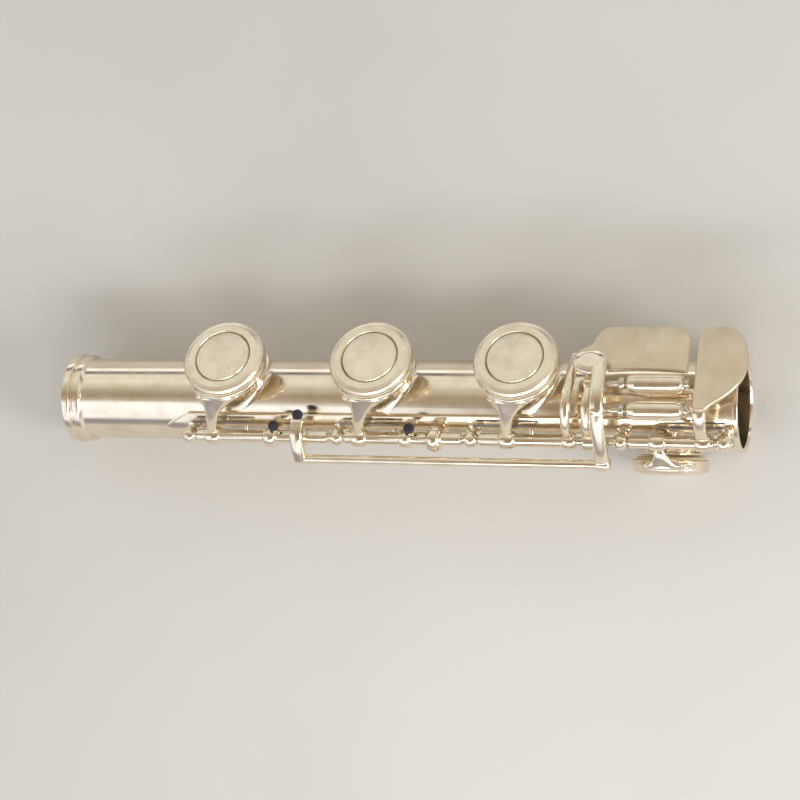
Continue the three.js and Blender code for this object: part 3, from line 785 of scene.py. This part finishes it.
def make_open_cup(key, boss):
    """The cup, pad and cup arm of a key that stands open on the main hinge line."""
    over_tube = math.radians(ROD_ANGLE)
    reach = ROD_DISTANCE * math.sin(over_tube)
    level = PAD_FACE - ROD_DISTANCE * math.cos(over_tube)
    make_cup(key, reach, level, CUP_RADIUS, boss, ARM_FOOT, OPEN_SPREAD, OPEN_KEY)


def axle_form(start, roller_start, roller_end, place):
    """An axle with a collar before its roller and a knob after it."""
    collar = roller_start - 1.9
    knob = roller_end + 0.25
    outline = [
        (start, 0), (start, AXLE, 0.1), (collar, AXLE), (collar + 0.1, AXLE + 0.8, 0.5),
        (collar + 1.5, AXLE + 0.8, 0.5), (collar + 1.6, AXLE), (knob, AXLE), (knob, AXLE + 0.45, 0.2),
        (knob + 0.6, AXLE + 0.45, 0.3), (knob + 1, AXLE - 0.1, 0.2), (knob + 1, 0),
    ]
    return moved(lathe(outline, ROD_SIDES), at(0, *place), TO_X)


def roller_form(start, end, place):
    """A barrel-shaped roller."""
    outline = [
        (start, AXLE + 0.06), (start, 1.3, 0.2), (start + 0.45, 2.0, 0.8), (start + 2.0, ROLLER, 2.0),
        (end - 2.0, ROLLER, 2.0), (end - 0.45, 2.0, 0.8), (end, 1.3, 0.2), (end, AXLE + 0.06),
    ]
    return moved(lathe(outline), at(0, *place), TO_X)


def make_roller(key, axle_start, place):
    """A key's roller and the axle that it spins on, at a place in the key's own frame."""
    ends = span(f"{key}_roller")
    axle = axle_form(axle_start, *ends, place)
    piece(f"{key}_axle", f"{key}_roller_axle", f"{key}_key", "steel", axle, OPEN_KEY)
    barrel = roller_form(*ends, place)
    piece(f"{key}_roller_barrel", f"{key}_roller", f"{key}_roller", "keywork", barrel, OPEN_KEY)


def add_bumper(name, body, foot_x, radius, centre, away):
    """Makes a felt cushion beside a collar or an arm's end of the given radius. Returns the lug under it."""
    way = Vector((0, *away)).normalized()
    foot = Vector((foot_x, *centre))
    place = Vector((along(f"{name}_bumper"), *centre)) + way * (radius + 0.75 * BUMPER)
    piece(f"{name}_felt", f"{name}_bumper", body, "felt", ball(place, BUMPER), OPEN_KEY)
    lug = [foot + way * (radius - 0.5), foot.lerp(place, 0.5), place - way * 0.6 * BUMPER]
    return sweep(smooth_line(lug), (1, 0, 0), lambda t: (0.75 + 0.25 * t, 0.6))


def make_b_key():
    start, end = span("b_hinge_tube")
    boss, hook, collar = 41.2, 49.8, 56.1
    link, lever = along("b_bridge_link"), along("b_lever_arm") + 2.2
    lug = add_bumper("b", "b_key", collar, 2.6, (0, 0), (1, 3.4))
    tube = hinge_tube(start, end, [(boss, 3.6, BOSS), (collar, 3.3, 2.6)], hook)
    piece("b_hinge", "b_hinge_tube", "b_key", "keywork", merged(tube, lug), OPEN_KEY)
    make_open_cup("b", boss)

    shank = bar([LINK_TOP, (-1.2, 3.1), (-3.3, 0.6), BRIDGE_PLACE], 1.25, link, 3.2, power=3.2)
    hub = rod(link - 1.55, link + 1.55, 2.1)
    lug = add_bumper("b_link", "b_key", link, 1.0, LINK_TOP, (2.4, 1.0))
    piece("b_link", "b_bridge_link", "b_key", "keywork", cast(shank, hub, lug), OPEN_KEY)
    bridge = moved(rod(link, lever, BRIDGE), at(0, *BRIDGE_PLACE))
    piece("b_bridge", "b_bridge_rod", "b_key", "keywork", bridge, OPEN_KEY)

    path = [BRIDGE_PLACE, (-3.4, 2.4), (0.3, 8.3), (4.6, 11.8), (10, 12.7), (13.4, 12.6)]
    arm = bar(path, 1.0, lever, 3.3, power=2.2)
    foot = moved(rod(lever - 1.7, lever + 1.7, 1.55, edge=0.8), at(0, *BRIDGE_PLACE))
    eye = bar([(2.2, 10.2), B_ROLLER_PLACE], 1.2, lever, 2.8)
    disc = lathe([(12.0, 0), (12.0, 4.0, 0.8), (13.2, 4.0, 0.9), (13.75, 2.2, 2.0), (13.8, 0)])
    cap = moved(disc, at(lever - 2.4, 13.7, 0), Matrix.Diagonal((1, 0.82, 1, 1)))
    casting = cast(arm, foot, eye, cap, grain=0.15, soften=14)
    piece("b_lever", "b_lever_arm", "b_key", "keywork", casting, OPEN_KEY)
    make_roller("b", lever - 1.2, B_ROLLER_PLACE)


def make_c_key():
    start, end = span("c_hinge_tube")
    boss, hook, collar, drive, lever = 78.4, 87.2, 89.9, 97.0, 134.1
    lug = add_bumper("c", "c_key", collar, 2.3, (0, 0), (1, 3.4))
    tube = hinge_tube(start, end, [(boss, 3.6, BOSS), (collar, 2.8, 2.3), (drive, 3.5, 3.1)], hook)
    piece("c_hinge", "c_hinge_tube", "c_key", "keywork", merged(tube, lug), OPEN_KEY)
    make_open_cup("c", boss)

    lean = 0.07
    path = [(0.4, 1.0), (1.0, 5.4), (4.6, 9.0), C_ROLLER_PLACE, (13.0, 10.5)]
    arm = bar(path, 1.0, lever, 2.3, lean, 2.2)
    hub = rod(lever - 1.4, lever + 1.4, 2.15)
    eye_x = lever + lean * C_ROLLER_PLACE[0]
    eye = moved(rod(eye_x - 1.1, eye_x + 1.1, 1.6), at(0, *C_ROLLER_PLACE))
    piece("c_lever", "c_lever_arm", "c_key", "keywork", cast(arm, hub, eye), OPEN_KEY)
    make_roller("c", eye_x - 0.9, C_ROLLER_PLACE)


def make_c_sharp_key():
    start, end = span("c_sharp_hinge_tube")
    boss, hook, arm_x = 114.6, 120.4, 129.3
    tube = hinge_tube(start, end, [(boss, 3.6, BOSS), (arm_x, 2.6, 2.0)], hook)
    piece("c_sharp_hinge", "c_sharp_hinge_tube", "c_sharp_key", "keywork", tube, OPEN_KEY)
    make_open_cup("c_sharp", boss)
    path = [(0.2, 1.4), (1.0, 6.0), (4.6, 9.4), (10, 10.1), (16.8, 9.5)]
    arm = bar(path, 1.0, arm_x, 2.3, 0.08, 2.2)
    piece("c_sharp_arm", "c_sharp_touch_arm", "c_sharp_key", "keywork", arm, OPEN_KEY)

    right = 157.0
    outline = vectors((131.2, 14.9), (136.6, 14.5))
    outline += curve(*vectors((136.6, 14.5), (138.2, 14.4), (138.6, 12.9)), steps=6)
    outline += curve(*vectors((138.6, 12.9), (148, 13.6), (156.2, 12.7)))
    outline += curve(*vectors((156.2, 12.7), (right, 12.6), (right, 13.4)), steps=5)
    outline += vectors((right, 20.6))
    outline += curve(*vectors((right, 20.6), (156.9, 24.6), (151.6, 24.7)))
    outline += curve(*vectors((139.0, 24.7), (135.3, 24.7), (134.2, 20.0)))
    outline += vectors((131.2, 18.3))
    touch = plate(outline, 8.85, 10.15, TOUCH_EDGE)
    piece("c_sharp_plate", "c_sharp_touch", "c_sharp_key", "touch", touch, OPEN_KEY)


def make_d_sharp_key():
    start, end = span("d_sharp_hinge_tube")
    boss, hook, arm_x = 149.8, 153.6, along("d_sharp_touch_arm")
    tube = hinge_tube(start, end, [(boss, 3.6, D_BOSS), (arm_x, 3.2, D_BOSS)], hook)
    piece("d_sharp_hinge", "d_sharp_hinge_tube", "d_sharp_key", "keywork", tube, OPEN_KEY)
    arm = bar([(0.2, 1.4), (0.7, 5.6), (2.6, 8.6), (6.2, 9.6)], 0.85, arm_x, 2.9, 0.04)
    piece("d_sharp_arm", "d_sharp_touch_arm", "d_sharp_key", "keywork", arm, OPEN_KEY)

    right = 170.5
    outline = vectors((158.9, 4.0), (159.1, 2.9))
    outline += curve(*vectors((159.1, 2.9), (160.5, 2.2), (161.9, 2.7)), steps=6)
    outline += curve(*vectors((161.9, 2.7), (162.8, 4.0), (164.6, 5.2)), steps=6)
    outline += curve(*vectors((164.6, 5.2), (168.4, 7.8), (right, 11.2), (right, 14.8)))
    outline += curve(*vectors((right, 14.8), (right, 20.3), (168.4, 24.3), (164.0, 24.4)))
    outline += curve(*vectors((164.0, 24.4), (158.9, 24.5), (158.6, 21.4)))
    touch = plate(outline, 9.4, 10.7, TOUCH_EDGE)
    piece("d_sharp_plate", "d_sharp_touch", "d_sharp_key", "touch", touch, OPEN_KEY)

    between = math.radians(D_HOLE_ANGLE - ROD_ANGLE)
    reach = ROD_DISTANCE * math.sin(between)
    level = PAD_FACE - ROD_DISTANCE * math.cos(between)
    make_cup("d_sharp", -reach, level, D_CUP_RADIUS, boss, D_ARM_FOOT, D_SPREAD, D_CUP_SIDE)


# ---- floor, light and camera ------------------------------------------------------------------------------


def make_floor():
    side = 1.6
    corners = [(-side, -side, 0), (side, -side, 0), (side, side, 0), (-side, side, 0)]
    mesh = bpy.data.meshes.new("floor")
    mesh.from_pydata(corners, [], [(0, 1, 2, 3)])
    material, nodes, shader = start_material("pale_floor")
    cloud = nodes.spread(nodes.noise(6, 4), 0, 1)
    nodes.link(nodes.blend(cloud, (0.66, 0.65, 0.63, 1), (0.72, 0.71, 0.69, 1)), shader["Base Color"])
    nodes.link(nodes.bump(nodes.noise(900, 3), 3e-5), shader["Normal"])
    shader["Roughness"].default_value = 0.75
    mesh.materials.append(material)
    floor = bpy.data.objects.new("floor", mesh)
    bpy.context.scene.collection.objects.link(floor)


def add_light(name, place, target, width, depth, power, colour):
    light = bpy.data.lights.new(name, "AREA")
    light.shape = "RECTANGLE"
    light.size = width
    light.size_y = depth
    light.energy = power
    light.color = colour
    lamp = bpy.data.objects.new(name, light)
    lamp.location = place
    lamp.rotation_mode = "QUATERNION"
    lamp.rotation_quaternion = (Vector(target) - Vector(place)).to_track_quat("-Z", "Y")
    bpy.context.scene.collection.objects.link(lamp)


# How far round from the rod's side (0) over the top (0.5) to the far side (1), then the sky's colour there
# in the direction of the open end and in that of the socket.
SKY = [
    (0.00, (0.40, 0.38, 0.40), (0.42, 0.39, 0.38)),
    (0.085, (0.34, 0.33, 0.38), (0.42, 0.40, 0.41)),
    (0.115, (1.05, 1.12, 1.25), (1.25, 1.28, 1.35)),
    (0.17, (1.10, 1.16, 1.28), (1.25, 1.28, 1.35)),
    (0.21, (1.12, 1.18, 1.30), (0.46, 0.38, 0.29)),
    (0.38, (1.15, 1.22, 1.32), (0.34, 0.26, 0.18)),
    (0.42, (0.50, 0.44, 0.37), (0.36, 0.28, 0.20)),
    (0.50, (0.40, 0.33, 0.26), (0.42, 0.34, 0.26)),
    (0.58, (0.56, 0.50, 0.41), (0.58, 0.52, 0.43)),
    (0.67, (0.78, 0.76, 0.68), (0.78, 0.76, 0.68)),
    (0.86, (0.90, 0.90, 0.83), (0.90, 0.90, 0.83)),
    (0.885, (0.16, 0.16, 0.18), (0.18, 0.18, 0.20)),
    (0.925, (0.16, 0.16, 0.18), (0.18, 0.18, 0.20)),
    (0.945, (1.25, 1.22, 1.18), (1.25, 1.22, 1.18)),
    (1.00, (1.25, 1.22, 1.18), (1.25, 1.22, 1.18)),
]
SKY_TURNS = (-0.37, -0.29)    # the X of a direction where the sky changes from one to the other
CLOUDS = (0.82, 1.14)         # the sky's lowest and highest strength
BACKDROP = (0.62, 0.61, 0.59, 1)    # what the camera sees past the floor's edge, in low views


def make_sky():
    """A studio sky in soft bands that run along the tube, with a plain backdrop as the camera sees it."""
    world = bpy.data.worlds.new("studio")
    bpy.context.scene.world = world
    nodes = Nodes(world, "Generated")
    apart = nodes.add("SeparateXYZ")
    nodes.link(nodes.where, apart.inputs[0])
    near = nodes.maths("MULTIPLY", apart.outputs["Y"], -1)
    share = nodes.maths("DIVIDE", nodes.maths("ARCTAN2", apart.outputs["Z"], near), math.pi)
    colours = []
    for column in (1, 2):
        ramp = nodes.add("ValToRGB")
        stops = ramp.color_ramp.elements
        while len(stops) < len(SKY):
            stops.new(0.5)
        for stop, band in zip(stops, SKY):
            stop.position = band[0]
            stop.color = (*band[column], 1)
        nodes.link(share, ramp.inputs[0])
        colours.append(ramp.outputs[0])
    sky = nodes.tree.nodes["Background"]
    turned = nodes.spread(apart.outputs["X"], 0, 1, *SKY_TURNS)
    nodes.link(nodes.blend(turned, *colours), sky.inputs["Color"])
    nodes.link(nodes.spread(nodes.noise(3.2, 4), *CLOUDS), sky.inputs["Strength"])

    backdrop = nodes.add("Background")
    backdrop.inputs["Color"].default_value = BACKDROP
    shown = nodes.add("MixShader")
    nodes.link(nodes.add("LightPath").outputs["Is Camera Ray"], shown.inputs[0])
    nodes.link(sky.outputs[0], shown.inputs[1])
    nodes.link(backdrop.outputs[0], shown.inputs[2])
    nodes.link(shown.outputs[0], nodes.tree.nodes["World Output"].inputs["Surface"])


def make_light():
    make_sky()
    target = (0, 0, 0.012)
    add_light("key", (0.10, -0.50, 0.42), target, 0.55, 0.08, 1.2, (0.96, 0.98, 1.0))
    add_light("side", (0.80, -0.30, 0.42), target, 0.30, 0.30, 4.5, (1.0, 0.99, 0.97))


def make_camera():
    """The photograph's viewing angle: above, a little from the rod's side and towards the socket."""
    centre = Vector((0, AXIS.y, AXIS.z + 0.002))
    away = Vector((0.171, -0.076, 0.514))
    tilt = math.radians(0.6)
    lens = bpy.data.cameras.new("camera")
    lens.lens = 103
    lens.clip_start = 0.01
    camera = bpy.data.objects.new("camera", lens)
    camera.location = centre + away
    back = away.normalized()
    along_tube = Vector((1, 0, 0))
    level = (along_tube - back * along_tube.dot(back)).normalized()
    right = Matrix.Rotation(tilt, 3, back) @ level
    up = back.cross(right)
    camera.rotation_mode = "QUATERNION"
    camera.rotation_quaternion = Matrix((right, up, back)).transposed().to_quaternion()
    bpy.context.scene.collection.objects.link(camera)
    bpy.context.scene.camera = camera


bpy.context.scene.view_settings.view_transform = "Standard"
make_tube()
make_rings()
make_rib()
make_posts()
make_steels()
make_springs()
make_b_key()
make_c_key()
make_c_sharp_key()
make_d_sharp_key()
make_floor()
make_light()
make_camera()

bpy.context.view_layer.update()
